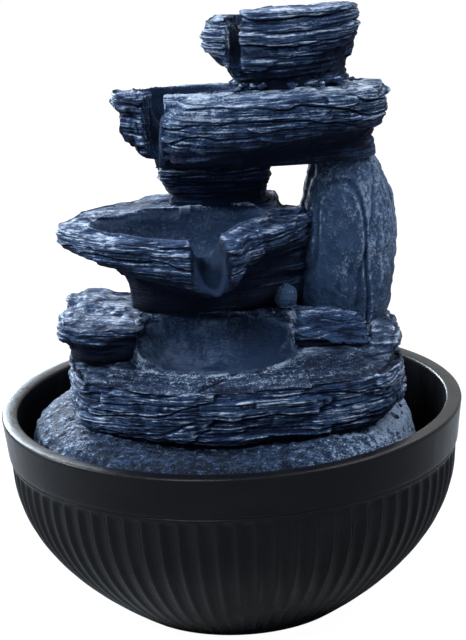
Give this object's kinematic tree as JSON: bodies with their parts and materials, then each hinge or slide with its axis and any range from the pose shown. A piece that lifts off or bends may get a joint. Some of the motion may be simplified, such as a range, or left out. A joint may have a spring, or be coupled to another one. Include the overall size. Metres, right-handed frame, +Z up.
{
  "type": "tabletop fountain",
  "caption": "Tabletop fountain: slate-look rock cascade with stepped basins in a fluted round bowl, over a small submersible pump with strainer, impeller and riser hose.",
  "frame": {"origin": "centre of the bowl's foot on the table, at the underside of its pads", "axes": "+Z up; -Y towards the viewer, where the basins pour; +X to the viewer's right"},
  "size_m": [0.29, 0.29, 0.3829],
  "materials": {
    "bowl_resin": "satin black moulded resin",
    "rock_resin": "cast resin painted dark slate blue with pale dry-brushed edges",
    "black_rubber": "matt black rubber",
    "pump_plastic": "fine-textured black moulding",
    "core_steel": "stacked electrical-steel laminations",
    "copper": "enamelled copper winding",
    "white_ceramic": "ground ceramic",
    "ferrite": "sintered ferrite",
    "white_plastic": "smooth white moulding",
    "filter_foam": "open-cell foam",
    "clear_silicone": "translucent silicone hose"
  },
  "bodies": {
    "bowl_and_pump": {"bowl": "bowl_resin", "bowl_feet": "black_rubber", "cord_grommet": "black_rubber", "pump_housing": "pump_plastic", "pump_rear_cap": "pump_plastic", "pump_cord_gland": "black_rubber", "stator_core": "core_steel", "stator_coil": "copper", "pump_shaft": "white_ceramic", "shaft_bushes": "black_rubber", "pump_volute": "pump_plastic", "volute_seal": "black_rubber", "suction_feet": "black_rubber"},
    "rock_cascade": {"base_mound": "rock_resin", "base_slab": "rock_resin", "pool_rock": "rock_resin", "left_ledge_rock": "rock_resin", "right_ledge_rock": "rock_resin", "pebble": "rock_resin", "mid_basin": "rock_resin", "neck_rock": "rock_resin", "upper_slab": "rock_resin", "top_rock": "rock_resin", "standing_boulder": "rock_resin", "riser_tube": "clear_silicone", "spout_collar": "black_rubber"},
    "impeller": {"rotor_magnet": "ferrite", "impeller": "white_plastic"},
    "intake_cover": {"intake_cover": "pump_plastic", "intake_sponge": "filter_foam"},
    "flow_regulator": {"flow_regulator": "pump_plastic"}
  },
  "joints": [
    {"name": "cascade_lift", "type": "slide", "parent": "bowl_and_pump", "child": "rock_cascade", "axis": [0, 0, 1], "range_m": [0, 0.14]},
    {"name": "impeller_spin", "type": "hinge", "parent": "bowl_and_pump", "child": "impeller", "pos_m": [0.022, 0.012, 0.029], "axis": [1, 0, 0], "continuous": true},
    {"name": "cover_pull", "type": "slide", "parent": "bowl_and_pump", "child": "intake_cover", "axis": [1, 0, 0], "range_m": [0, 0.014]},
    {"name": "regulator_slide", "type": "slide", "parent": "intake_cover", "child": "flow_regulator", "axis": [0, 0, 1], "range_m": [0, 0.008]}
  ]
}
